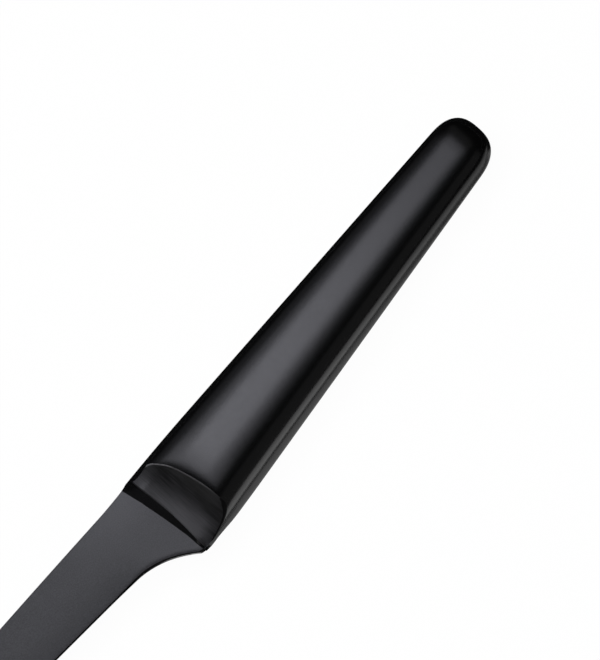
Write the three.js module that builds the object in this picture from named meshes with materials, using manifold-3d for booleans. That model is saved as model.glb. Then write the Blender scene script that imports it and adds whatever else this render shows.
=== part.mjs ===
// Fillet knife with a hollow wedge-shaped handle, lying on its right side.
// Millimetres. +X runs to the butt, +Y to the spine and +Z out of the left side.
// While it is built, X = 0 is the heel of the bolster, Y = 0 the spine and Z = 0 the middle plane.
import * as THREE from 'three';
import { mergeVertices } from 'three/addons/utils/BufferGeometryUtils.js';
import Module from 'manifold-3d';

// Handle: a straight spine, a sloping belly and sides that thin towards the butt
const HANDLE_LENGTH = 125.5;
const HANDLE_DEPTH_FRONT = 27.2;
const HANDLE_DEPTH_BUTT = 15.0;
const HANDLE_THICKNESS_FRONT = 17.9;
const HANDLE_THICKNESS_BUTT = 12.1;
const SECTION_SQUARENESS = 3.3;   // exponent of the superellipse section, 2 is an ellipse
const SHOULDER_LENGTH = 24;       // the sides roll in over this length at the front
const SHOULDER_DROP = 3.0;        // and lose this much on each side
const HEEL_ROUND_LENGTH = 4;      // the belly turns up to the heel over this length
const HEEL_ROUND_RISE = 0.9;
const BUTT_ROUND_LENGTH = 9.5;
const BUTT_SQUARENESS = 2.7;
const BUTT_FLAT = 0.2;            // share of the section left as a flat at the very end
const SHELL_WALL = 1.5;
const FIT_CLEARANCE = 0.3;

// Bolster: a scoop hollowed along the knife and crowned across it, with a steep front wall
const BOLSTER_LENGTH = 15;
const SCOOP_RADIUS = 15.05;
const SCOOP_LOWEST_X = 2.83;
const SCOOP_HEIGHT = 5.145;       // lowest line of the scoop above the middle plane, at its crown
const CROWN_RADIUS = 116.7;
const CROWN_ABOVE_SPINE = 3.0;
const WALL_TOP_X = 2.0;
const WALL_ANGLE = THREE.MathUtils.degToRad(55.4);
const SCOOP_END_SLOPE = THREE.MathUtils.degToRad(60);   // the cut has left the handle by then
const SPIGOT_PAST_TANG = 1;

// Blade: parallel ricasso between the bolsters, then a taper to the tip and a curved grind
const BLADE_LENGTH = 160;
const BLADE_THICKNESS = 2.0;
const TIP_THICKNESS = 1.0;
const EDGE_THICKNESS = 0.3;
const RICASSO_LENGTH = 3;         // parallel length that shows in front of the bolster
const GRIND_DEPTH = 0.62;         // share of the blade's depth that the grind takes
const GRIND_START = 9;            // the grind fades in between these two distances from the heel
const GRIND_FULL = 24;
const SPINE_DIP_LENGTH = 10;
const SPINE_DIP = 0.3;
const SPINE_RISE = 0.9;           // height of the spine's two handles over the dip
const SPINE_REACH_HEEL = 50;
const SPINE_REACH_TIP = 40;
const CHOIL_LENGTH = 16;
const CHOIL_RISE = 8.0;
const CHOIL_REACH = 7.5;          // distance of the choil's corner handle from the heel
const CHOIL_REACH_RISE = 7.4;
const EDGE_REACH_HEEL = 46;       // handles of the cutting edge's curve, from the choil and the tip
const EDGE_REACH_HEEL_RISE = 3.7;
const EDGE_REACH_TIP = 25;
const EDGE_REACH_TIP_DROP = 9.6;
const TIP_DROP = 1.4;             // tip below the handle's spine line
const TIP_HEIGHT = 0.6;

// Stub tang and the rivets that clamp the spigots to it
const TANG_LENGTH = 25;
const TANG_WIDTH = 12;
const RIVET_RADIUS = 2;
const RIVET_HEAD_RADIUS = 3.5;
const RIVET_HEAD_HEIGHT = 1.2;
const RIVET_HEADROOM = 0.8;
const RIVET_FRONT_SETBACK = 7;    // from the back of the bolster; the rear one ends the tang

// Facets
const RING_SIDES = 44;
const CROWN_STEPS = 14;
const SCOOP_STEPS = 12;
const BUTT_STEPS = 9;
const CURVE_STEPS = 10;
const EDGE_STEPS = 18;
const GRIND_STEPS = 6;
const HEEL_STEPS = 4;
const SHOULDER_STEPS = 6;
const ROUND_SIDES = 24;
const MERGE_DISTANCE = 1e-5;
const HALVINGS = 40;
const CUT_MARGIN = 5;             // cutting solids run past the handle by this much

const wasm = await Module();
wasm.setup();

const { lerp, smoothstep } = THREE.MathUtils;
const vec = (x, y, z) => new THREE.Vector3(x, y, z);
const bladeHalf = BLADE_THICKNESS / 2;
const nearCorner = vec(-CUT_MARGIN, -HANDLE_DEPTH_FRONT - CUT_MARGIN, -HANDLE_THICKNESS_FRONT);
const farCorner = vec(HANDLE_LENGTH + CUT_MARGIN, CUT_MARGIN, HANDLE_THICKNESS_FRONT);
const steps = (count) => Array.from({ length: count + 1 }, (_, i) => i / count);

// Closed solid through a row of equal rings of points, capped at both ends.
function loft(rings) {
  const sides = rings[0].length;
  const points = rings.flat();
  const index = [];
  for (let r = 0; r + 1 < rings.length; r += 1) {
    for (let i = 0; i < sides; i += 1) {
      const a = r * sides + i;
      const b = r * sides + (i + 1) % sides;
      index.push(a, b, b + sides, a, b + sides, a + sides);
    }
  }
  const cap = (ring, start, flip) => {
    const centre = ring.reduce((sum, p) => sum.add(p), vec(0, 0, 0)).divideScalar(sides);
    points.push(centre);
    for (let i = 0; i < sides; i += 1) {
      const pair = [start + i, start + (i + 1) % sides];
      index.push(points.length - 1, ...(flip ? pair : pair.reverse()));
    }
  };
  cap(rings[0], 0, false);
  cap(rings.at(-1), (rings.length - 1) * sides, true);
  const geometry = new THREE.BufferGeometry().setFromPoints(points);
  return geometry.setIndex(index);
}

// Solid for cutting and joining, turned inside out if its faces point in.
function solid(geometry) {
  const bare = geometry.clone();
  bare.deleteAttribute('normal');
  bare.deleteAttribute('uv');
  const merged = mergeVertices(bare, MERGE_DISTANCE);
  const triVerts = Uint32Array.from(merged.index.array);
  const vertProperties = Float32Array.from(merged.attributes.position.array);
  let volume = 0;
  const [a, b, c] = [vec(), vec(), vec()];
  for (let i = 0; i < triVerts.length; i += 3) {
    a.fromArray(vertProperties, triVerts[i] * 3);
    b.fromArray(vertProperties, triVerts[i + 1] * 3);
    c.fromArray(vertProperties, triVerts[i + 2] * 3);
    volume += a.dot(b.cross(c));
  }
  if (volume < 0) triVerts.reverse();
  return new wasm.Manifold(new wasm.Mesh({ numProp: 3, vertProperties, triVerts }));
}

function box(low, high) {
  const size = high.clone().sub(low);
  const middle = low.clone().add(high).divideScalar(2);
  const geometry = new THREE.BoxGeometry(size.x, size.y, size.z);
  return solid(geometry.translate(middle.x, middle.y, middle.z));
}

// Round bar along Z, centred on the middle plane.
function bar(radius, height, x, y) {
  const geometry = new THREE.CylinderGeometry(radius, radius, height, ROUND_SIDES);
  return solid(geometry.rotateX(Math.PI / 2).translate(x, y, 0));
}

function geometryOf(manifold) {
  const { vertProperties, triVerts } = manifold.getMesh();
  const geometry = new THREE.BufferGeometry();
  geometry.setAttribute('position', new THREE.BufferAttribute(Float32Array.from(vertProperties), 3));
  geometry.setIndex(new THREE.BufferAttribute(Uint32Array.from(triVerts), 1));
  geometry.computeVertexNormals();
  return geometry;
}

// Copy on the other side of the middle plane, with its faces turned back to point out.
function mirrored(geometry) {
  const copy = geometry.clone().scale(1, 1, -1);
  copy.index.array.reverse();
  copy.computeVertexNormals();
  return copy;
}

// Handle body

const alongHandle = (front, butt, x) => lerp(front, butt, x / HANDLE_LENGTH);

function bellyY(x) {
  const turn = Math.max(0, HEEL_ROUND_LENGTH - x) / HEEL_ROUND_LENGTH;
  return HEEL_ROUND_RISE * turn ** 2 - alongHandle(HANDLE_DEPTH_FRONT, HANDLE_DEPTH_BUTT, x);
}

function sideZ(x) {
  const roll = Math.max(0, SHOULDER_LENGTH - x) / SHOULDER_LENGTH;
  return alongHandle(HANDLE_THICKNESS_FRONT, HANDLE_THICKNESS_BUTT, x) / 2 - SHOULDER_DROP * roll ** 2;
}

// Superellipse section of the handle at x, drawn in by inset on every side. Its corners straddle the
// middle plane and the widest line, so that the halves part cleanly and the knife lies on a flat.
function handleRing(x, inset) {
  const round = BUTT_ROUND_LENGTH - inset;
  const into = Math.max(0, x - (HANDLE_LENGTH - BUTT_ROUND_LENGTH)) / round;
  const close = Math.max(1 - into ** BUTT_SQUARENESS, 0) ** (1 / BUTT_SQUARENESS);
  const halfDepth = (-bellyY(x) / 2 - inset) * Math.max(close, BUTT_FLAT);
  const halfSide = (sideZ(x) - inset) * Math.max(close, BUTT_FLAT);
  const squared = (share) => Math.sign(share) * Math.abs(share) ** (2 / SECTION_SQUARENESS);
  return Array.from({ length: RING_SIDES }, (_, i) => {
    const turn = (2 * i + 1) * Math.PI / RING_SIDES;
    const y = bellyY(x) / 2 + halfDepth * squared(Math.cos(turn));
    return vec(x, y, halfSide * squared(Math.sin(turn)));
  });
}

function handleBody(inset = 0) {
  const roundStart = HANDLE_LENGTH - BUTT_ROUND_LENGTH;
  const front = steps(2 * HEEL_STEPS).map((t) => lerp(-CUT_MARGIN, HEEL_ROUND_LENGTH, t));
  const shoulder = steps(SHOULDER_STEPS).slice(1).map(
    (t) => lerp(HEEL_ROUND_LENGTH, SHOULDER_LENGTH, t));
  const butt = steps(BUTT_STEPS).slice(1).map(
    (t) => roundStart + (BUTT_ROUND_LENGTH - inset) * Math.sin(t * Math.PI / 2));
  const stations = [...front, ...shoulder, roundStart, ...butt];
  return solid(loft(stations.map((x) => handleRing(x, inset))));
}

// Nose: what the scoop and the front wall leave standing on the left side

function noseRadius(x) {
  const along = Math.max(x, WALL_TOP_X) - SCOOP_LOWEST_X;
  const scoop = CROWN_RADIUS + SCOOP_RADIUS - Math.sqrt(SCOOP_RADIUS ** 2 - along ** 2);
  return scoop - Math.max(0, WALL_TOP_X - x) * Math.tan(WALL_ANGLE);
}

function noseZ(x, y) {
  const aside = y - CROWN_ABOVE_SPINE;
  return SCOOP_HEIGHT - CROWN_RADIUS + Math.sqrt(noseRadius(x) ** 2 - aside ** 2);
}

function nose() {
  const wallFootX = WALL_TOP_X - noseZ(WALL_TOP_X, CROWN_ABOVE_SPINE) / Math.tan(WALL_ANGLE);
  const startSlope = Math.asin((WALL_TOP_X - SCOOP_LOWEST_X) / SCOOP_RADIUS);
  const scoopXs = steps(SCOOP_STEPS).map(
    (t) => SCOOP_LOWEST_X + SCOOP_RADIUS * Math.sin(lerp(startSlope, SCOOP_END_SLOPE, t)));
  const [low, high, floor] = [nearCorner.y, farCorner.y, nearCorner.z];
  const section = (x) => [
    vec(x, low, floor),
    ...steps(CROWN_STEPS).map((t) => vec(x, lerp(low, high, t), noseZ(x, lerp(low, high, t)))),
    vec(x, high, floor),
  ];
  const overHandle = section(scoopXs.at(-1)).map((p) => p.setX(farCorner.x));
  return solid(loft([...[wallFootX, ...scoopXs].map(section), overHandle]));
}

// Blade outline, seen from the left

const heel = new THREE.Vector2(0, bellyY(0));
const tipX = -BLADE_LENGTH;
const choilEnd = new THREE.Vector2(-CHOIL_LENGTH, heel.y + CHOIL_RISE);
const choil = new THREE.QuadraticBezierCurve(
  heel,
  new THREE.Vector2(-CHOIL_REACH, heel.y + CHOIL_REACH_RISE),
  choilEnd,
);
const edge = new THREE.CubicBezierCurve(
  choilEnd,
  new THREE.Vector2(choilEnd.x - EDGE_REACH_HEEL, choilEnd.y + EDGE_REACH_HEEL_RISE),
  new THREE.Vector2(tipX + EDGE_REACH_TIP, -TIP_DROP - EDGE_REACH_TIP_DROP),
  new THREE.Vector2(tipX, -TIP_DROP - TIP_HEIGHT),
);
const spineDip = new THREE.QuadraticBezierCurve(
  new THREE.Vector2(0, 0),
  new THREE.Vector2(-SPINE_DIP_LENGTH / 2, -SPINE_DIP),
  new THREE.Vector2(-SPINE_DIP_LENGTH, -SPINE_DIP),
);
const spine = new THREE.CubicBezierCurve(
  new THREE.Vector2(-SPINE_DIP_LENGTH, -SPINE_DIP),
  new THREE.Vector2(-SPINE_DIP_LENGTH - SPINE_REACH_HEEL, SPINE_RISE - SPINE_DIP),
  new THREE.Vector2(tipX + SPINE_REACH_TIP, SPINE_RISE - SPINE_DIP),
  new THREE.Vector2(tipX, -TIP_DROP),
);

// Height of a curve whose x falls steadily, found by halving.
function heightOn(curve, x) {
  let [low, high] = [0, 1];
  for (let i = 0; i < HALVINGS; i += 1) {
    const middle = (low + high) / 2;
    if (curve.getPoint(middle).x > x) low = middle;
    else high = middle;
  }
  return curve.getPoint(high).y;
}

function spineY(x) {
  if (x >= 0) return 0;
  return heightOn(x > -SPINE_DIP_LENGTH ? spineDip : spine, x);
}

function edgeY(x) {
  if (x >= 0) return bellyY(x);
  return heightOn(x > -CHOIL_LENGTH ? choil : edge, x);
}

// Section of the blade at x: flat under the spine, then a grind that curves in to the edge.
function bladeRing(x) {
  const out = Math.max(0, -x - RICASSO_LENGTH) / (BLADE_LENGTH - RICASSO_LENGTH);
  const half = lerp(bladeHalf, TIP_THICKNESS / 2, out);
  const ground = smoothstep(-x, GRIND_START, GRIND_FULL);
  const loss = ground * (half - EDGE_THICKNESS / 2);
  const [top, bottom] = [spineY(x), edgeY(x)];
  const side = [0, ...steps(GRIND_STEPS)].map((t, i) => {
    const share = i === 0 ? 0 : 1 - GRIND_DEPTH * (1 - t);
    return [lerp(top, bottom, share), half - loss * t ** 2];
  });
  return [
    ...side.map(([y, z]) => vec(x, y, z)),
    ...side.reverse().map(([y, z]) => vec(x, y, -z)),
  ];
}

const tangEnd = BOLSTER_LENGTH + TANG_LENGTH;
const tangY = bellyY(BOLSTER_LENGTH + TANG_LENGTH / 2) / 2;
const rivetXs = [BOLSTER_LENGTH + RIVET_FRONT_SETBACK, tangEnd - TANG_WIDTH / 2];
const rivetHoles = rivetXs
  .map((x) => bar(RIVET_RADIUS + FIT_CLEARANCE, 2 * HANDLE_THICKNESS_FRONT, x, tangY))
  .reduce((all, hole) => all.add(hole));

function tang() {
  const round = TANG_WIDTH / 2;
  const centreX = tangEnd - round;
  const shape = new THREE.Shape();
  shape.moveTo(BOLSTER_LENGTH - round, tangY - round);
  shape.lineTo(centreX, tangY - round);
  shape.absarc(centreX, tangY, round, -Math.PI / 2, Math.PI / 2, false);
  shape.lineTo(BOLSTER_LENGTH - round, tangY + round);
  const options = { depth: BLADE_THICKNESS, bevelEnabled: false, curveSegments: ROUND_SIDES / 2 };
  return solid(new THREE.ExtrudeGeometry(shape, options).translate(0, 0, -bladeHalf));
}

function bladeAndTang() {
  const overHeel = steps(HEEL_STEPS).map((t) => lerp(HEEL_ROUND_LENGTH, 0, t));
  const alongChoil = steps(CURVE_STEPS).slice(1).map((t) => choil.getPoint(t).x);
  const alongEdge = steps(EDGE_STEPS).slice(1).map((t) => edge.getPoint(t).x);
  const marks = [-RICASSO_LENGTH, -GRIND_START, -GRIND_FULL];
  const stations = [BOLSTER_LENGTH, ...overHeel, ...alongChoil, ...alongEdge, ...marks];
  const xs = [...new Set(stations)].sort((a, b) => b - a);
  return solid(loft(xs.map(bladeRing))).add(tang()).subtract(rivetHoles);
}

// Left bolster: the scooped front of the handle, and a flat spigot that plugs into the shells.
const spigotEnd = tangEnd + SPIGOT_PAST_TANG;
const spigotZ = sideZ(spigotEnd) - SHELL_WALL - RIVET_HEAD_HEIGHT - RIVET_HEADROOM;

function bolster(body) {
  const inFront = vec(nearCorner.x, nearCorner.y, bladeHalf);
  const front = box(inFront, vec(BOLSTER_LENGTH, farCorner.y, farCorner.z));
  const inBolster = vec(BOLSTER_LENGTH / 2, nearCorner.y, bladeHalf);
  const plug = box(inBolster, vec(spigotEnd, farCorner.y, spigotZ));
  const spigot = handleBody(SHELL_WALL + FIT_CLEARANCE).intersect(plug).intersect(nose());
  return body.intersect(front).add(spigot).subtract(rivetHoles);
}

function shell(body) {
  const half = box(vec(BOLSTER_LENGTH, nearCorner.y, 0), farCorner);
  return body.subtract(handleBody(SHELL_WALL)).intersect(half);
}

// Rivet with a head on each spigot, turned about Z.
function rivet(x) {
  const top = spigotZ + RIVET_HEAD_HEIGHT;
  const profile = [
    [0, -top], [RIVET_HEAD_RADIUS, -top], [RIVET_HEAD_RADIUS, -spigotZ], [RIVET_RADIUS, -spigotZ],
    [RIVET_RADIUS, spigotZ], [RIVET_HEAD_RADIUS, spigotZ], [RIVET_HEAD_RADIUS, top], [0, top],
  ].map(([r, z]) => new THREE.Vector2(r, z));
  return new THREE.LatheGeometry(profile, ROUND_SIDES).rotateX(Math.PI / 2).translate(x, tangY, 0);
}

const bladeCoat = new THREE.MeshStandardMaterial({ color: 0x2e2d31, roughness: 0.5, metalness: 0.2 });
const handleCoat = new THREE.MeshStandardMaterial({ color: 0x0b0b0d, roughness: 0.3, metalness: 0.1 });
const plainSteel = new THREE.MeshStandardMaterial({ color: 0x8c8b88, roughness: 0.4, metalness: 0.9 });

const body = handleBody().intersect(nose());
const leftBolster = geometryOf(bolster(body));
const leftShell = geometryOf(shell(body));

const knife = new THREE.Group();
function addPiece(name, geometry, material) {
  const mesh = new THREE.Mesh(geometry, material);
  mesh.name = name;
  knife.add(mesh);
}
addPiece('blade', geometryOf(bladeAndTang()), bladeCoat);
addPiece('bolster_left', leftBolster, handleCoat);
addPiece('bolster_right', mirrored(leftBolster), handleCoat);
addPiece('tang_rivet_front', rivet(rivetXs[0]), plainSteel);
addPiece('tang_rivet_rear', rivet(rivetXs[1]), plainSteel);
addPiece('handle_shell_left', leftShell, handleCoat);
addPiece('handle_shell_right', mirrored(leftShell), handleCoat);

// The origin sits under the middle of the knife, on the surface that it lies on.
const bounds = new THREE.Box3().setFromObject(knife);
const centre = bounds.getCenter(vec(0, 0, 0));
knife.position.set(-centre.x, -centre.y, -bounds.min.z);

export default knife;
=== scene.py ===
# Fillet knife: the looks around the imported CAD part, lit and seen as in the photograph.
# Shapes are written in the knife's own frame, in millimetres: X runs from the heel to the butt,
# Y = 0 is the spine of the handle with the belly below it, and Z runs out of the left side.
import math

import bpy
from mathutils import Matrix, Vector


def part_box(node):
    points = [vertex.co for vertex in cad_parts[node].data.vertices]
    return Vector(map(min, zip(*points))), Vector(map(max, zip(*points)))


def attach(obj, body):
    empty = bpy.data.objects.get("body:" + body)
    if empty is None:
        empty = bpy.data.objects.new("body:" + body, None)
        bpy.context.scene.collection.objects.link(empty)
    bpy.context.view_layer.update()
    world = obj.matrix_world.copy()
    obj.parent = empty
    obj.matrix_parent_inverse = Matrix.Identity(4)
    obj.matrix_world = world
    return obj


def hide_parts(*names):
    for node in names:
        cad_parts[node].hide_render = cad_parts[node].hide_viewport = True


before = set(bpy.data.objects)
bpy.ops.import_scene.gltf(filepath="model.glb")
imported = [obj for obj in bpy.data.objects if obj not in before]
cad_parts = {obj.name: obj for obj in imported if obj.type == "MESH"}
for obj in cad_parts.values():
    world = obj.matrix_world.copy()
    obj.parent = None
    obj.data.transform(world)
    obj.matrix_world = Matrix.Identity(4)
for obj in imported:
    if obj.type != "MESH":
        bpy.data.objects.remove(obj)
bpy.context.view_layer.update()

MM = 0.001
TINY = 1e-6
HALVINGS = 44                # steps of a search for a place along a line or curve

# Handle, with the sizes of the CAD part
HANDLE_LENGTH = 125.5
HANDLE_DEPTH_FRONT = 27.2
HANDLE_DEPTH_BUTT = 15.0
HANDLE_THICKNESS_FRONT = 17.9
HANDLE_THICKNESS_BUTT = 12.1
SECTION_SQUARENESS = 3.3
SHOULDER_LENGTH = 24         # in front of this the sides roll in
SHOULDER_DROP = 3.0
HEEL_ROUND_LENGTH = 4        # in front of this the belly rises
HEEL_ROUND_RISE = 0.9
BUTT_ROUND_LENGTH = 9.5
BUTT_SQUARENESS = 2.7
BOLSTER_LENGTH = 15
SCOOP_RADIUS = 15.05
SCOOP_LOWEST_X = 2.83
SCOOP_HEIGHT = 5.145
CROWN_RADIUS = 116.7
CROWN_ABOVE_SPINE = 3.0
WALL_TOP_X = 2.0
WALL_ANGLE = math.radians(55.4)

# Finish of the handle. Pairs named X or Y say where a change starts and where it is complete.
SKIN_FIT = 0.9975            # keeps the smooth skin inside the facets of the CAD part
SHADE_FROM = -22.8           # below this the crease is a painted shade line
CREASE_ROUND = 0.18          # softening of the scoop's crease
CREASE_ROUND_SPINE = 0.5     # and of its ends beside the spine and the belly
CREASE_ROUND_SPINE_Y = (-4, -1.5)
CREASE_ROUND_BELLY = 0.8
CREASE_ROUND_BELLY_Y = (SHADE_FROM, -24.8)
CREASE_ROLL = 0.25           # the side rolls down by this much just before the crease
CREASE_ROLL_LENGTH = 3.4
CREASE_ROLL_POWER = 3
CREASE_ROLL_SPINE = 0.45     # share of the roll that is left at the spine
CREASE_ROLL_X = (4, 9)
CREASE_ROLL_Y = (0, -18)
SCOOP_LIFT = 0.07            # the scoop lies higher than in the CAD part by this much
SCOOP_LIFT_SPINE = 0.60      # and by this much at the spine
SCOOP_LIFT_Y = (0, -16)
SCOOP_DIP = 0.90             # its front corner at the spine lies lower by this much
SCOOP_DIP_X = (14, 7)
SCOOP_DIP_Y = (-6, 0)
SCOOP_FALL = 0.16            # its belly side falls away by this much
SCOOP_FALL_WIDTH = 2.6
SCOOP_SIDE = ((2, -26.2), (11.5, -22.9))     # two points of that belly side, X and Y
WALL_TOP_ROUND = 0.25        # softening of the edge between scoop and wall
WALL_TOP_BOW = 0.6           # that edge and the wall's foot bow back by this much half-way down
WALL_FOOT_BOW = 0.4
WALL_FOOT_HEEL = 0.5         # the foot runs forward by this much at the heel
WALL_FOOT_HEEL_FROM = 0.75   # starting at this share of the way from spine to belly
WALL_FOOT_SPINE = 0.65       # and by this much at the spine, fading over the depth that follows
WALL_FOOT_SPINE_DEPTH = 6
WALL_FOOT_SINK = 0.3         # how far the wall goes on into the blade
MOST_SOFT = 0.3              # a softening takes up at most this share of the scoop's length
MOST_SOFT_WALL = 0.4         # and at most this share of the wall

# Steps of the handle's meshes
SECTION_STEPS = 112
SHOULDER_STEPS = 16
SHOULDER_STEP_POWER = 1.5    # the steps are closest behind the bolsters
STRAIGHT_STEPS = 16
BUTT_STEPS = 24
ROW_STEPS = 110              # rows of a bolster, at first
ROW_GAP = 0.5                # where the crease steps by more than this, a row is added
ROW_STEP_LEAST = 6e-4        # unless the two rows are this close
ROW_END_X = -2.5             # all rows end behind this
SIDE_STEPS = 40
CORNER_STEPS = 4
SCOOP_STEPS = 26
WALL_STEPS = 6
MERGE_DIGITS = 4             # points that agree to this many decimals are one
SHARP_ANGLE = 35             # edges that turn by more than this are sharp
BOLSTER_SHARP_ANGLE = 14

# Blade
BLADE_LENGTH = 160
BLADE_HALF = 1.0
TIP_HALF = 0.5
RICASSO_LENGTH = 3
GRIND_DEPTH = 0.62           # share of the blade's depth that is ground
GRIND_START = 9              # the grind starts and is complete this far from the heel
GRIND_FULL = 24
CAD_EDGE_HALF = 0.15
EDGE_HALF = 0.03
EDGE_BEVEL = 2.0             # the sides roll in over this height above the edge
EDGE_BEVEL_MOST = 0.15       # or over this share of the blade's depth, if that is less
CHOIL_ROLL = 0.42            # they roll in by this much at the choil
CHOIL_ROLL_END_X = (1.2, 2.0)    # between the bolsters that roll ends
EDGE_ROLL_POWER = (3, 4)     # how late the sides roll in, at the choil and along the ground edge
SPINE_FIT = 0.005            # keeps the smooth spine inside the facets of the CAD part
SPINE_ROUND = 0.15           # in front of the bolsters the spine's corners are rounded
SPINE_ROUND_MOST = 0.2       # by at most this share of the blade's depth
SPINE_ROUND_X = (-1.5, -3.5)
BLADE_COAT_FROM = 2.3        # behind this the blade has the handle's coat
HEEL_COAT_FROM = -1.5        # and its edge face has it behind this
BARE_EDGE_FROM = -14         # in front of this the cutting edge is bare steel
EDGE_COLUMNS = 2             # columns of faces next to the edge face with the handle's dark coat
HEEL = (0, -26.3)
CHOIL = (HEEL, (-7.5, -18.9), (-16, -18.3))
EDGE = ((-16, -18.3), (-62, -14.6), (-135, -11.0), (-160, -2.0))
SPINE_DIP = ((0, 0), (-5, -0.3), (-10, -0.3))
SPINE = ((-10, -0.3), (-60, 0.6), (-120, 0.6), (-160, -1.4))
BLADE_STOPS = ((2, 6), (-24, 90), (-140, 80), (-BLADE_LENGTH, 30))   # X, and the steps up to it
SPINE_ROUND_STEPS = 4
FLAT_STEPS = 6
GRIND_STEPS = 14
BEVEL_STEPS = 10

# Hidden tang, which places the knife's frame in the row
TANG_MIDDLE_X = 27.5
FRONT_RIVET_X = 22

# Photograph: 600 x 660 pixels, 4 to the millimetre, seen 19 degrees round towards the belly
PIXELS_PER_MM = 4.0
FRAME_PIXELS = (600, 660)
VIEW_TILT = math.radians(19)
IMAGE_TIP_DIRECTION = (-0.65769, 0.75329)    # from butt to tip, right and down
AIM = Vector((58.1, -7.29, 0))
CAMERA_DISTANCE = 2000
SENSOR = 36


def lerp(a, b, t):
    return a + (b - a) * t


def ramp(value, start, end):
    """Goes smoothly from 0 at start to 1 at end."""
    t = min(max((value - start) / (end - start), 0), 1)
    return t * t * (3 - 2 * t)


def spread(low, high, count):
    """count + 1 even steps from low to high."""
    return [lerp(low, high, i / count) for i in range(count + 1)]


def bezier(points, t):
    points = [Vector(p) for p in points]
    while len(points) > 1:
        points = [a.lerp(b, t) for a, b in zip(points, points[1:])]
    return points[0]


def turning_place(low, high, test):
    """Place between low and high where a test that holds at low stops holding."""
    for _ in range(HALVINGS):
        middle = (low + high) / 2
        if test(middle):
            low = middle
        else:
            high = middle
    return high


def height_on(curve, x):
    """Height of a curve whose x falls steadily."""
    return bezier(curve, turning_place(0, 1, lambda t: bezier(curve, t).x > x)).y


# Handle surface

def handle_depth(x):
    return lerp(HANDLE_DEPTH_FRONT, HANDLE_DEPTH_BUTT, x / HANDLE_LENGTH)


def belly_y(x):
    turn = max(0, HEEL_ROUND_LENGTH - x) / HEEL_ROUND_LENGTH
    return HEEL_ROUND_RISE * turn ** 2 - handle_depth(x)


def side_z(x):
    roll = max(0, SHOULDER_LENGTH - x) / SHOULDER_LENGTH
    thickness = lerp(HANDLE_THICKNESS_FRONT, HANDLE_THICKNESS_BUTT, x / HANDLE_LENGTH)
    return thickness / 2 - SHOULDER_DROP * roll ** 2


def squared(share):
    return math.copysign(abs(share) ** (2 / SECTION_SQUARENESS), share)


def handle_point(x, turn):
    """Point of the handle's section at x; turn goes from 0 at the spine to pi at the belly."""
    into = max(0, x - HANDLE_LENGTH + BUTT_ROUND_LENGTH) / BUTT_ROUND_LENGTH
    close = max(1 - into ** BUTT_SQUARENESS, 0) ** (1 / BUTT_SQUARENESS)
    close *= SKIN_FIT
    y = belly_y(x) / 2 * (1 - close * squared(math.cos(turn)))
    return Vector((x, y, side_z(x) * close * squared(math.sin(turn))))


def nose_radius(x):
    run = max(x, WALL_TOP_X) - SCOOP_LOWEST_X
    scoop = CROWN_RADIUS + SCOOP_RADIUS - math.sqrt(SCOOP_RADIUS ** 2 - run ** 2)
    return scoop - max(0, WALL_TOP_X - x) * math.tan(WALL_ANGLE)


def nose_z(x, y):
    """Height of the scoop and of the wall in front of it."""
    aside = y - CROWN_ABOVE_SPINE
    lift = lerp(SCOOP_LIFT_SPINE, SCOOP_LIFT, ramp(y, *SCOOP_LIFT_Y))
    lift -= SCOOP_DIP * ramp(x, *SCOOP_DIP_X) * ramp(y, *SCOOP_DIP_Y)
    (x0, y0), (x1, y1) = SCOOP_SIDE
    inside = y - lerp(y0, y1, (x - x0) / (x1 - x0))
    fall = SCOOP_FALL * max(0, 1 - inside / SCOOP_FALL_WIDTH) ** 2
    return SCOOP_HEIGHT + lift - fall - CROWN_RADIUS + math.sqrt(nose_radius(x) ** 2 - aside ** 2)


def wall_foot_x(y):
    """Where the wall meets the face of the blade."""
    aside = y - CROWN_ABOVE_SPINE
    radius = math.hypot(BLADE_HALF - SCOOP_HEIGHT + CROWN_RADIUS, aside)
    return WALL_TOP_X - (nose_radius(WALL_TOP_X) - radius) / math.tan(WALL_ANGLE)


# Meshes

origin = sum(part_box("tang_rivet_front"), Vector()) / 2
origin -= Vector((FRONT_RIVET_X, belly_y(TANG_MIDDLE_X) / 2, 0)) * MM


def to_row(point):
    return origin + Vector(point) * MM


def added(name, data):
    """New object in the scene."""
    obj = bpy.data.objects.new(name, data)
    bpy.context.scene.collection.objects.link(obj)
    return obj


def piece(name, points, faces, looks, sharp=SHARP_ANGLE, mirror=False):
    """Mesh object from points in the knife's frame; looks gives each face's material."""
    side = -1 if mirror else 1
    found = {}
    corner = []
    kept = []
    for x, y, z in points:
        key = (round(x, MERGE_DIGITS), round(y, MERGE_DIGITS), round(z, MERGE_DIGITS))
        if key not in found:
            found[key] = len(kept)
            kept.append(Vector((x, y, z * side)))
        corner.append(found[key])
    polygons = []
    finishes = []
    for face, look in zip(faces, looks):
        ring = [corner[i] for i in face]
        ring = [i for k, i in enumerate(ring) if i != ring[k - 1]]
        if len(set(ring)) > 2:
            polygons.append(ring[::-1] if mirror else ring)
            finishes.append(look)
    mesh = bpy.data.meshes.new(name)
    mesh.from_pydata([to_row(p) for p in kept], [], polygons)
    materials = list(dict.fromkeys(finishes))
    for material in materials:
        mesh.materials.append(material)
    for polygon, look in zip(mesh.polygons, finishes):
        polygon.material_index = materials.index(look)
    mesh.shade_smooth()
    mesh.set_sharp_from_angle(angle=math.radians(sharp))
    obj = added(name, mesh)
    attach(obj, "root")
    return obj


def grid(rows):
    """Points and quads of equal rows."""
    width = len(rows[0])
    faces = [
        (r * width + c, r * width + c + 1, (r + 1) * width + c + 1, (r + 1) * width + c)
        for r in range(len(rows) - 1)
        for c in range(width - 1)
    ]
    return [p for row in rows for p in row], faces


# Materials

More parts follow.
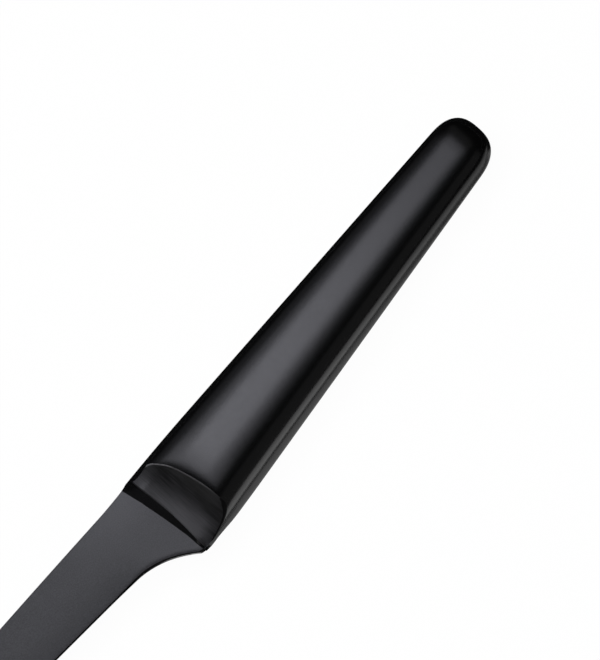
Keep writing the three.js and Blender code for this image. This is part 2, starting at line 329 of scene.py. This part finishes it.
COAT_IOR = 1.5
LINES_MIDDLE = 0.5           # level of the brush lines that leaves the scoop's colour as it is
LINES_SHARE = 1.35           # how strongly they change it
SCOOP_PAINTED_LIGHT_LEAST = 0.11          # share of the painted light all over the scoop
HIGHLIGHT_RISE = 0.5              # each of two rises towards the spine adds this share of the painted highlight
BLADE_PAINTED_LIGHT = 0.48     # painted light makes the blade lighter by this share at the heel's spine
BLADE_PAINTED_SHADE = 0.08      # and painted shade makes it darker by this share in front


def new_material(name, base, roughness, metallic=0.0):
    material = bpy.data.materials.new(name)
    material.use_nodes = True
    shader = material.node_tree.nodes["Principled BSDF"]
    shader.inputs["Base Color"].default_value = (*base, 1)
    shader.inputs["Roughness"].default_value = roughness
    shader.inputs["Metallic"].default_value = metallic
    shader.inputs["IOR"].default_value = COAT_IOR
    return material, material.node_tree, shader


def noise(tree, scale, detail, stretch=(1, 1, 1)):
    """Noise over the object's own place, scale in features per metre."""
    place = tree.nodes.new("ShaderNodeTexCoord")
    mapping = tree.nodes.new("ShaderNodeMapping")
    mapping.inputs["Scale"].default_value = stretch
    texture = tree.nodes.new("ShaderNodeTexNoise")
    texture.inputs["Scale"].default_value = scale
    texture.inputs["Detail"].default_value = detail
    tree.links.new(place.outputs["Object"], mapping.inputs["Vector"])
    tree.links.new(mapping.outputs["Vector"], texture.inputs["Vector"])
    return texture.outputs["Fac"]


def along(tree, axis, start, end):
    """Goes from 0 to 1 between two places along an axis of the knife's frame."""
    place = tree.nodes.new("ShaderNodeTexCoord")
    split = tree.nodes.new("ShaderNodeSeparateXYZ")
    remap = tree.nodes.new("ShaderNodeMapRange")
    remap.interpolation_type = "SMOOTHSTEP"
    index = "XYZ".index(axis)
    remap.inputs["From Min"].default_value = origin[index] + start * MM
    remap.inputs["From Max"].default_value = origin[index] + end * MM
    tree.links.new(place.outputs["Object"], split.inputs["Vector"])
    tree.links.new(split.outputs[axis], remap.inputs["Value"])
    return remap.outputs["Result"]


def joined(tree, operation, a, b):
    """Two values or node outputs put together by a Math node."""
    node = tree.nodes.new("ShaderNodeMath")
    node.operation = operation
    for value, socket in zip((a, b), node.inputs):
        if isinstance(value, (int, float)):
            socket.default_value = value
        else:
            tree.links.new(value, socket)
    return node.outputs[0]


def vary(tree, source, socket, low, high):
    """Lets a pattern move a number or a colour between two values."""
    if isinstance(low, (int, float)):
        remap = tree.nodes.new("ShaderNodeMapRange")
        remap.inputs["To Min"].default_value = low
        remap.inputs["To Max"].default_value = high
        tree.links.new(source, remap.inputs["Value"])
        tree.links.new(remap.outputs["Result"], socket)
    else:
        mix = tree.nodes.new("ShaderNodeMix")
        mix.data_type = "RGBA"
        mix.inputs["A"].default_value = (*low, 1)
        mix.inputs["B"].default_value = (*high, 1)
        tree.links.new(source, mix.inputs["Factor"])
        tree.links.new(mix.outputs["Result"], socket)


def roughen(tree, source, shader, depth):
    """Bump from a pattern, depth in metres."""
    bump = tree.nodes.new("ShaderNodeBump")
    bump.inputs["Distance"].default_value = depth
    bump.inputs["Strength"].default_value = 1
    tree.links.new(source, bump.inputs["Height"])
    tree.links.new(bump.outputs["Normal"], shader.inputs["Normal"])


def handle_coat():
    """Satin black with a fine grain."""
    material, tree, shader = new_material("handle_coat", (0.002, 0.002, 0.0022), roughness=0.25)
    patches = noise(tree, scale=900, detail=4)
    vary(tree, patches, shader.inputs["Roughness"], 0.22, 0.28)
    grain = noise(tree, scale=3000, detail=3)
    dark, light = (0.0006, 0.0006, 0.0007), (0.0014, 0.0014, 0.0015)
    vary(tree, grain, shader.inputs["Base Color"], dark, light)
    roughen(tree, grain, shader, depth=1.1e-5)
    return material


def scoop_coat():
    """Brushed across, with painted light lighter towards the belly and the wall and painted shade up at
    the crease and the spine.
    """
    material, tree, shader = new_material("scoop_coat", (0.012, 0.012, 0.0125), roughness=0.35)
    lines = noise(tree, scale=1, detail=4, stretch=(4200, 150, 150))
    # Painted light: lighter on the flatter scoop towards the wall and the belly, darker up at the steep
    # crease.
    painted_light = joined(tree, "MULTIPLY", along(tree, "X", 10.5, 4.5), along(tree, "Y", -3, -21))
    painted_light = joined(tree, "MULTIPLY", painted_light, along(tree, "Y", -27.5, -21.5))
    streaks = joined(tree, "MULTIPLY", joined(tree, "SUBTRACT", lines, LINES_MIDDLE), LINES_SHARE)
    shade = joined(tree, "ADD", joined(tree, "ADD", painted_light, SCOOP_PAINTED_LIGHT_LEAST), streaks)
    dark, light = (0.0015, 0.0015, 0.0016), (0.030, 0.0295, 0.0325)
    vary(tree, shade, shader.inputs["Base Color"], dark, light)
    vary(tree, lines, shader.inputs["Roughness"], 0.30, 0.44)
    roughen(tree, lines, shader, depth=8e-6)
    return material


def edge_coat():
    """Painted highlight along the crease, where its edge catches the light, fainter towards the belly.
    """
    material, tree, shader = new_material("edge_coat", (0.03, 0.03, 0.032), roughness=0.3)
    # Painted highlight: a light, patchy line along the crease.
    rises = joined(tree, "ADD", along(tree, "Y", -25, -15), along(tree, "Y", -12, -5))
    painted_highlight = joined(tree, "MULTIPLY", rises, HIGHLIGHT_RISE)
    painted_highlight = joined(tree, "MULTIPLY", painted_highlight, noise(tree, scale=1200, detail=4))
    dark, light = (0.002, 0.002, 0.0022), (0.15, 0.148, 0.155)
    vary(tree, painted_highlight, shader.inputs["Base Color"], dark, light)
    vary(tree, noise(tree, scale=2500, detail=3), shader.inputs["Roughness"], 0.25, 0.35)
    return material


def painted_shade_coat():
    """Painted shade: dull and dark, for the deep line where the scoop meets the belly."""
    material, tree, shader = new_material("painted_shade_coat", (0.001, 0.001, 0.0011), roughness=0.5)
    shader.inputs["Specular IOR Level"].default_value = 0.2
    vary(tree, noise(tree, scale=2500, detail=3), shader.inputs["Roughness"], 0.45, 0.55)
    return material


def blade_coat():
    """Matte charcoal with a fine grain, with painted light at the heel's spine and painted shade in
    front.
    """
    material, tree, shader = new_material("blade_coat", (0.045, 0.043, 0.05), roughness=0.5)
    vary(tree, noise(tree, scale=700, detail=5), shader.inputs["Roughness"], 0.38, 0.46)
    # Painted light at the heel's spine, fading towards the belly and the tip, and painted shade in
    # front.
    depth = joined(tree, "MULTIPLY", along(tree, "Y", -14, 1), BLADE_PAINTED_LIGHT)
    depth = joined(tree, "ADD", depth, BLADE_PAINTED_SHADE)
    heel = joined(tree, "MULTIPLY", along(tree, "X", -30, 0), depth)
    plain = joined(tree, "SUBTRACT", heel, BLADE_PAINTED_SHADE)
    shade = joined(tree, "ADD", plain, noise(tree, scale=3200, detail=3))
    dark, light = (0.004, 0.004, 0.0046), (0.038, 0.0384, 0.0435)
    vary(tree, shade, shader.inputs["Base Color"], dark, light)
    roughen(tree, noise(tree, scale=3600, detail=2), shader, depth=8e-6)
    return material


def bare_steel(name, roughness):
    material, tree, shader = new_material(name, (0.5, 0.5, 0.49), roughness, metallic=1.0)
    grain = noise(tree, scale=2500, detail=3)
    vary(tree, grain, shader.inputs["Roughness"], roughness - 0.05, roughness + 0.08)
    return material


HANDLE_COAT = handle_coat()
SCOOP_COAT = scoop_coat()
EDGE_COAT = edge_coat()
PAINTED_SHADE_COAT = painted_shade_coat()
BLADE_COAT = blade_coat()
RIVET_STEEL = bare_steel("rivet_steel", 0.4)
EDGE_STEEL = bare_steel("edge_steel", 0.3)


# The handle's side, the crease of the scoop and the roll before it

def edge_turn(x):
    """Turn at which the section meets the face of the blade."""
    return math.asin((BLADE_HALF / side_z(x) / SKIN_FIT) ** (SECTION_SQUARENESS / 2))


def row_point(x, u):
    """Point of the handle's side; u goes from 0 at the blade's spine to 1 at its belly."""
    start = edge_turn(x)
    return handle_point(x, lerp(start, math.pi - start, u))


def rolled(p, crease_x, drop):
    """The point moved down by the roll, which ends at the crease with the whole drop."""
    near = max(0, CREASE_ROLL_LENGTH - max(0, p.x - crease_x)) / CREASE_ROLL_LENGTH
    return p - Vector((0, 0, drop * near ** CREASE_ROLL_POWER))


def meeting(side, low, high):
    """Place along a row where the handle's side meets the scoop or the wall."""
    def cut(x):
        p = side(x)
        return nose_z(x, p.y) <= p.z

    return turning_place(low, high, cut)


def crease_point(u):
    """The crease on a row, and how far the side rolls down to it."""
    plain = meeting(lambda x: row_point(x, u), ROW_END_X, BOLSTER_LENGTH)
    share = lerp(CREASE_ROLL_SPINE, 1, ramp(row_point(plain, u).y, *CREASE_ROLL_Y))
    drop = CREASE_ROLL * share * ramp(plain, *CREASE_ROLL_X)
    x = meeting(lambda x: row_point(x, u) - Vector((0, 0, drop)), ROW_END_X, plain)
    return rolled(row_point(x, u), x, drop), drop


# Handle shells: the smooth skin behind the bolsters

def shell_stations():
    shares = [t ** SHOULDER_STEP_POWER for t in spread(0, 1, SHOULDER_STEPS)]
    shoulder = [lerp(BOLSTER_LENGTH, SHOULDER_LENGTH, share) for share in shares]
    round_start = HANDLE_LENGTH - BUTT_ROUND_LENGTH
    straight = spread(SHOULDER_LENGTH, round_start, STRAIGHT_STEPS)[1:]
    angles = [t * math.pi / 2 for t in spread(0, 1, BUTT_STEPS)[1:]]
    return shoulder + straight + [round_start + BUTT_ROUND_LENGTH * math.sin(a) for a in angles]


def shell_skin(name, mirror):
    turns = spread(0, math.pi, SECTION_STEPS)
    start = edge_turn(BOLSTER_LENGTH)
    places = [min(max((turn - start) / (math.pi - 2 * start), 0), 1) for turn in turns]
    creases = [crease_point(u) for u in places]
    points, faces = grid([
        [rolled(handle_point(x, turn), p.x, drop) for turn, (p, drop) in zip(turns, creases)]
        for x in shell_stations()
    ])
    width = len(turns)
    rings = len(points) // width
    front = list(range(width))
    spine = [r * width for r in range(rings)]
    belly = [r * width + width - 1 for r in range(rings)]
    faces += [front[::-1], spine + belly[::-1]]
    return piece(name, points, faces, [HANDLE_COAT] * len(faces), mirror=mirror)


# Bolsters: rows run along the handle's side, over the crease, through the scoop and down the wall

def crease_rows():
    """Row places from spine to belly, closer together where the crease runs along them."""
    places = spread(0, 1, ROW_STEPS)
    done = [(places[0], *crease_point(places[0]))]
    todo = places[:0:-1]
    while todo:
        u = todo[-1]
        p, drop = crease_point(u)
        if (p - done[-1][1]).length > ROW_GAP and u - done[-1][0] > ROW_STEP_LEAST:
            todo.append((u + done[-1][0]) / 2)
        else:
            done.append((todo.pop(), p, drop))
    return done


def wall_lines(creases):
    """Top and foot of the wall on each row; outside the scoop the crease is the top."""
    on_scoop = [i for i, p in enumerate(creases) if p.x > WALL_TOP_X]
    first, last = on_scoop[0], on_scoop[-1]
    lengths = [0]
    for a, b in zip(creases[first:last], creases[first + 1:last + 1]):
        lengths.append(lengths[-1] + (b - a).length)
    lines = []
    for i, crease in enumerate(creases):
        if first <= i <= last:
            share = lengths[i - first] / lengths[-1]
            bow = math.sin(math.pi * share) ** 2
            moved = WALL_FOOT_BOW * bow - WALL_FOOT_HEEL * ramp(share, WALL_FOOT_HEEL_FROM, 1)
            y = lerp(creases[first].y, creases[last].y, share)
            top = Vector((WALL_TOP_X + WALL_TOP_BOW * bow, y))
        else:
            moved = -WALL_FOOT_HEEL if i > last else 0
            top = crease.xy
        moved -= WALL_FOOT_SPINE * max(0, 1 + top.y / WALL_FOOT_SPINE_DEPTH)
        lines.append((top, Vector((wall_foot_x(top.y) + moved, top.y, BLADE_HALF))))
    return lines


def soft_corner(a, corner, b):
    return [bezier((a, corner, b), t) for t in spread(0, 1, CORNER_STEPS)]


def crease_softness(y):
    soft = lerp(CREASE_ROUND, CREASE_ROUND_SPINE, ramp(y, *CREASE_ROUND_SPINE_Y))
    return lerp(soft, CREASE_ROUND_BELLY, ramp(y, *CREASE_ROUND_BELLY_Y))


def bolster_row(u, crease, drop, top, foot):
    reach = (crease.xy - top).length
    soft = min(crease_softness(crease.y), MOST_SOFT * reach)
    row = [row_point(x, u) for x in spread(BOLSTER_LENGTH, crease.x + soft, SIDE_STEPS)]
    row = [rolled(p, crease.x, drop) for p in row]
    into = crease.xy.lerp(top, soft / reach) if reach > 0 else crease.xy
    scoop = [into.lerp(top, t) for t in spread(0, 1, SCOOP_STEPS)]
    scoop = [Vector((p.x, p.y, min(nose_z(p.x, p.y), crease.z))) for p in scoop]
    edge = scoop[-1]
    back = min(WALL_TOP_ROUND, MOST_SOFT * reach)
    if back > 0:
        before = top.lerp(into, back / reach)
        before = Vector((before.x, before.y, nose_z(before.x, before.y)))
        after = edge.lerp(foot, min(MOST_SOFT_WALL, back / max((foot - edge).length, TINY)))
    else:
        before = after = edge
    inner = [p for p in scoop if (p.xy - top).length > back + TINY]
    inner += [before] * (len(scoop) - len(inner))
    row += soft_corner(row[-1], crease, inner[0])[1:-1] + inner
    row += soft_corner(before, edge, after)[1:]
    row += [after.lerp(foot, t) for t in spread(0, 1, WALL_STEPS)[1:]]
    return row + [foot - Vector((0, 0, WALL_FOOT_SINK))]


def bolster_rows():
    placed = crease_rows()
    lines = wall_lines([crease for _, crease, _ in placed])
    return [bolster_row(*place, *line) for place, line in zip(placed, lines)]


def bolster_skin(name, rows, mirror):
    points, faces = grid(rows)
    width, height = len(rows[0]), len(rows)
    back = [r * width for r in range(height)]
    foot = [r * width + width - 1 for r in range(height)]
    spine = list(range(width))
    belly = [(height - 1) * width + c for c in range(width)]
    looks = []
    for row in rows[:-1]:
        # The crease's corner has the painted highlight, and below SHADE_FROM the painted shade line.
        edge = EDGE_COAT if row[SIDE_STEPS].y > SHADE_FROM else PAINTED_SHADE_COAT
        looks += [HANDLE_COAT] * SIDE_STEPS + [edge] * CORNER_STEPS
        looks += [SCOOP_COAT] * (SCOOP_STEPS + CORNER_STEPS) + [HANDLE_COAT] * (WALL_STEPS + 1)
    looks += [HANDLE_COAT] * 2
    faces += [back, belly[:-1] + foot[:0:-1] + spine[::-1]]
    return piece(name, points, faces, looks, sharp=BOLSTER_SHARP_ANGLE, mirror=mirror)


# Blade

def spine_y(x):
    if x >= 0:
        return -SPINE_FIT
    return height_on(SPINE_DIP if x > SPINE_DIP[-1][0] else SPINE, x) - SPINE_FIT


def edge_y(x):
    if x >= 0:
        return belly_y(x)
    return height_on(CHOIL if x > CHOIL[-1][0] else EDGE, x)


def blade_side(x):
    """One half of the blade's section at x, from the middle of the spine to the middle of the edge."""
    out = max(0, -x - RICASSO_LENGTH) / (BLADE_LENGTH - RICASSO_LENGTH)
    half = lerp(BLADE_HALF, TIP_HALF, out)
    ground = ramp(-x, GRIND_START, GRIND_FULL)
    loss = ground * (half - CAD_EDGE_HALF)
    top, bottom = spine_y(x), edge_y(x)
    depth = top - bottom
    corner = min(SPINE_ROUND * ramp(x, *SPINE_ROUND_X), SPINE_ROUND_MOST * depth)
    side = [(top, 0), (top, half - corner)]
    for angle in spread(0, math.pi / 2, SPINE_ROUND_STEPS)[1:]:
        side.append((top - corner * (1 - math.cos(angle)), half - corner * (1 - math.sin(angle))))
    grind_top = lerp(top, bottom, 1 - GRIND_DEPTH)
    side += [(lerp(top - corner, grind_top, t), half) for t in spread(0, 1, FLAT_STEPS)[1:]]
    bevel = min(EDGE_BEVEL, EDGE_BEVEL_MOST * depth)
    last = 1 - bevel / (GRIND_DEPTH * depth)
    for t in spread(0, 1, GRIND_STEPS)[1:]:
        side.append((lerp(grind_top, bottom, last * t), half - loss * (last * t) ** 2))
    start = half - loss * last ** 2
    slope = 2 * loss * last / (GRIND_DEPTH * depth) * bevel
    end = lerp(half - CHOIL_ROLL * (1 - ramp(x, *CHOIL_ROLL_END_X)), EDGE_HALF, ground)
    roll = start - slope - end
    power = lerp(*EDGE_ROLL_POWER, ground)
    for t in spread(0, 1, BEVEL_STEPS)[1:]:
        side.append((lerp(bottom + bevel, bottom, t), start - slope * t - roll * t ** power))
    return side + [(bottom, 0)]


def blade_skin():
    stations = [BOLSTER_LENGTH]
    for stop, steps in BLADE_STOPS:
        stations += spread(stations[-1], stop, steps)[1:]
    rings = []
    for x in stations:
        side = blade_side(x)
        ring = [(x, y, -z) for y, z in side] + [(x, y, z) for y, z in side[-2:0:-1]]
        rings.append(ring + ring[:1])
    points, faces = grid(rings)
    width = len(rings[0])
    bottom = width // 2
    looks = []
    for face in faces:
        x, column = points[face[0]][0], face[0] % width
        up = bottom - 1 - column if column < bottom else column - bottom
        if x > BLADE_COAT_FROM or up == 0 and x > HEEL_COAT_FROM:
            looks.append(HANDLE_COAT)
        elif up == 0 and x < BARE_EDGE_FROM:
            looks.append(EDGE_STEEL)
        elif 0 < up <= EDGE_COLUMNS:
            looks.append(HANDLE_COAT)
        else:
            looks.append(BLADE_COAT)
    looks += [HANDLE_COAT, BLADE_COAT]
    faces += [range(width - 2, -1, -1), range(len(points) - width, len(points) - 1)]
    return piece("blade_skin", points, faces, looks)


rows = bolster_rows()
made = {
    "handle_shell_left": shell_skin("handle_skin_left", False),
    "handle_shell_right": shell_skin("handle_skin_right", True),
    "bolster_left": bolster_skin("bolster_skin_left", rows, False),
    "bolster_right": bolster_skin("bolster_skin_right", rows, True),
    "blade": blade_skin(),
}
for node, skin in made.items():
    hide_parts(node)
for node in ("tang_rivet_front", "tang_rivet_rear"):
    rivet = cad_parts[node]
    rivet.data.materials.clear()
    rivet.data.materials.append(RIVET_STEEL)


# Stage: a white floor that keeps a faint shadow

FLOOR_SIZE = 30
FLOOR_GREY = 0.9
FLOOR_GLOW = 0.97


def floor():
    mesh = bpy.data.meshes.new("floor")
    half = FLOOR_SIZE / 2
    corners = [(-half, -half, 0), (half, -half, 0), (half, half, 0), (-half, half, 0)]
    mesh.from_pydata(corners, [], [(0, 1, 2, 3)])
    material = bpy.data.materials.new("floor_white")
    material.use_nodes = True
    tree = material.node_tree
    tree.nodes.clear()
    rays = tree.nodes.new("ShaderNodeLightPath")
    glow = tree.nodes.new("ShaderNodeEmission")
    plain = tree.nodes.new("ShaderNodeBsdfDiffuse")
    plain.inputs["Color"].default_value = (FLOOR_GREY, FLOOR_GREY, FLOOR_GREY, 1)
    seen = rays.outputs["Is Camera Ray"]
    for other in ("Is Glossy Ray", "Is Transmission Ray"):
        seen = joined(tree, "MAXIMUM", seen, rays.outputs[other])
    mix = tree.nodes.new("ShaderNodeMixShader")
    output = tree.nodes.new("ShaderNodeOutputMaterial")
    tree.links.new(joined(tree, "MULTIPLY", seen, FLOOR_GLOW), mix.inputs[0])
    tree.links.new(plain.outputs[0], mix.inputs[1])
    tree.links.new(glow.outputs[0], mix.inputs[2])
    tree.links.new(mix.outputs[0], output.inputs["Surface"])
    mesh.materials.append(material)
    added("floor", mesh)


floor()


# Flags: cards on the floor that only gloss shows, which leave a white strip beside the belly

FLAG_FROM = 40               # from here to the butt the gaps beside the belly change
FLAG_LINE = (4.5, 1.0)       # a black card, a painted contact shadow that gloss shows as a dark line, starts this far from the belly
FLAG_NEAR = (8, 2.6)         # the white strip starts and ends this far from it
FLAG_FAR = (60, 14)
FLAG_BUTT = 6                # and it ends this far behind the butt
FLAG_FADE = (30, 135)        # towards the butt its glow fades
FLAG_FADE_GLOW = (1.2, 0.36)
FLAG_HEIGHT = 0.2
FLAG_REACH = 1500
FLAG_SPINE = 3               # beyond this the floor on the spine's side is dark
FLAG_EDGE = -10              # under the blade in front of this it is dark too
FLAG_HEEL = -2.2             # and from here to the grey card, which starts at the next value
FLAG_BELLY = 2.5
FLAG_SHADE = 0.33            # glow of the grey card
FLAG_GREY = 0.01
FLAG_ROUGHNESS = 0.9


def beside(gap):
    """Line beside the belly, with its gap in front and at the butt."""
    def line(x):
        return -handle_depth(x) - lerp(*gap, max(0, x - FLAG_FROM) / (HANDLE_LENGTH - FLAG_FROM))

    return line


def level(y):
    return lambda x: y


def flag_cards():
    """Material of each card, its two ends, and the lines of its belly and spine sides.

    The shade cards stand for the shaded floor under the handle, and the fade cards are the strip.
    """
    spine, away = level(FLAG_SPINE), level(-FLAG_REACH)
    front = level(-HANDLE_DEPTH_FRONT - FLAG_FAR[0])
    line, near, far = beside(FLAG_LINE), beside(FLAG_NEAR), beside(FLAG_FAR)
    behind = HANDLE_LENGTH + FLAG_BUTT
    return [
        ("flag_black", -FLAG_REACH, FLAG_REACH, spine, level(FLAG_REACH)),
        ("flag_shade", FLAG_BELLY, FLAG_FROM, line, spine),
        ("flag_shade", FLAG_FROM, HANDLE_LENGTH, line, spine),
        ("flag_fade", 0, FLAG_FROM, far, near),
        ("flag_fade", FLAG_FROM, behind, far, near),
        ("flag_black", FLAG_BELLY, FLAG_FROM, near, line),
        ("flag_black", FLAG_FROM, HANDLE_LENGTH, near, line),
        ("flag_black", FLAG_HEEL, FLAG_BELLY, near, spine),
        ("flag_black", HANDLE_LENGTH, behind, near, spine),
        ("flag_black", behind, FLAG_REACH, away, spine),
        ("flag_black", -FLAG_REACH, 0, away, front),
        ("flag_black", 0, FLAG_FROM, away, far),
        ("flag_black", FLAG_FROM, behind, away, far),
        ("flag_black", -FLAG_REACH, FLAG_EDGE, front, spine),
    ]


def flag_material(name):
    material, tree, shader = new_material(name, (FLAG_GREY,) * 3, FLAG_ROUGHNESS)
    shader.inputs["Emission Color"].default_value = (1, 1, 1, 1)
    strength = shader.inputs["Emission Strength"]
    if name == "flag_fade":
        vary(tree, along(tree, "X", *FLAG_FADE), strength, *FLAG_FADE_GLOW)
    else:
        strength.default_value = FLAG_SHADE if name == "flag_shade" else 0
    return material


def flags():
    cards = flag_cards()
    points = []
    for _, x0, x1, low, high in cards:
        corners = [(x0, low(x0)), (x1, low(x1)), (x1, high(x1)), (x0, high(x0))]
        points += [to_row((x, y, 0)) for x, y in corners]
    for point in points:
        point.z = FLAG_HEIGHT * MM
    mesh = bpy.data.meshes.new("flags")
    mesh.from_pydata(points, [], [range(4 * i, 4 * i + 4) for i in range(len(cards))])
    names = ["flag_black", "flag_shade", "flag_fade"]
    for name in names:
        mesh.materials.append(flag_material(name))
    for polygon, card in zip(mesh.polygons, cards):
        polygon.material_index = names.index(card[0])
    obj = added("flags", mesh)
    obj.visible_camera = False
    obj.visible_diffuse = False
    obj.visible_shadow = False
    obj.visible_transmission = False


flags()


# Light: a strip softbox with soft sides over the handle, dim panels round it and a plain fill

COOL = (0.905, 0.91, 1.0)
NEUTRAL = (1.0, 1.0, 1.0)
PANEL_AIM_Y = -11            # the panels look at this line along the handle
WORLD_GREY = 0.012


def seen_size(distance, angles):
    low, high = angles
    return 2 * distance * math.tan(math.radians(high - low) / 2)


def panel(name, over, spine, butt, distance, radiance, colour=NEUTRAL, in_gloss=True):
    """Lamp that the handle sees at X = over, between two angles to the spine and two to the butt.

    Angles are in degrees from straight up, and the distance is in metres.
    """
    lean_spine, lean_butt = (math.radians(sum(pair) / 2) for pair in (spine, butt))
    upright = math.cos(lean_butt)
    back = Vector((math.sin(lean_butt), math.sin(lean_spine) * upright, math.cos(lean_spine) * upright))
    across = Vector((0, math.cos(lean_spine), -math.sin(lean_spine)))
    lengthwise = across.cross(back)
    data = bpy.data.lights.new(name, "AREA")
    data.shape = "RECTANGLE"
    data.size = seen_size(distance, butt)
    data.size_y = seen_size(distance, spine) * upright
    data.energy = math.pi * data.size * data.size_y * radiance
    data.color = colour
    lamp = added(name, data)
    lamp.matrix_world = Matrix((lengthwise, across, back)).transposed().to_4x4()
    lamp.location = to_row((over, PANEL_AIM_Y, 0)) + back * distance
    lamp.visible_camera = False
    lamp.visible_glossy = in_gloss


panel("strip", 30, (15, 25), (-8, 8.6), 0.60, 3.7, COOL)
panel("strip_long", 30, (15, 25), (-10, 22.5), 0.605, 0.75, COOL)
panel("strip_soft", 30, (5, 40), (-17, 6.5), 0.61, 1.0, COOL)
panel("strip_rear", 30, (5, 29), (7.2, 23.5), 0.61, 0.78, COOL)
panel("strip_front", 30, (-7, 8), (-16, 3), 0.615, 0.8, COOL)
panel("strip_corner", 30, (24, 45), (-19, -8), 0.615, 0.8, COOL)
panel("strip_tail", 30, (12, 65), (-20, 11), 0.62, 0.2, COOL)
panel("tip_panel", 8, (6, 45), (-88, -60), 0.8, 0.5)
panel("tip_sky", 8, (-40, 6), (-85, -45), 0.8, 0.12)
panel("belly_panel", 60, (-88, -32), (-40, 40), 0.8, 0.13)
panel("butt_sky", 60, (0, 50), (26, 42), 0.8, 0.12)
panel("far_spine", 30, (35, 68), (-58, -28), 0.8, 0.35)
panel("far_belly", 30, (-68, -38), (-58, -28), 0.8, 0.12)
panel("fill", 0, (-35, 35), (-35, 35), 1.2, 2.0, in_gloss=False)

world = bpy.data.worlds.new("studio")
world.use_nodes = True
background = world.node_tree.nodes["Background"]
background.inputs["Color"].default_value = (WORLD_GREY, WORLD_GREY, WORLD_GREY, 1)
bpy.context.scene.world = world
bpy.context.scene.view_settings.view_transform = "Standard"


# Camera

def camera():
    data = bpy.data.cameras.new("camera")
    data.sensor_width = SENSOR
    data.lens = SENSOR * CAMERA_DISTANCE * PIXELS_PER_MM / max(FRAME_PIXELS)
    obj = added("camera", data)
    back = Vector((0, -math.sin(VIEW_TILT), math.cos(VIEW_TILT)))
    to_spine = Vector((0, math.cos(VIEW_TILT), math.sin(VIEW_TILT)))
    to_butt = Vector((1, 0, 0))
    dx, dy = IMAGE_TIP_DIRECTION
    right = -dx * to_butt - dy * to_spine
    up = dy * to_butt - dx * to_spine
    obj.matrix_world = Matrix((right, up, back)).transposed().to_4x4()
    obj.location = to_row(AIM) + back * CAMERA_DISTANCE * MM
    bpy.context.scene.camera = obj


camera()
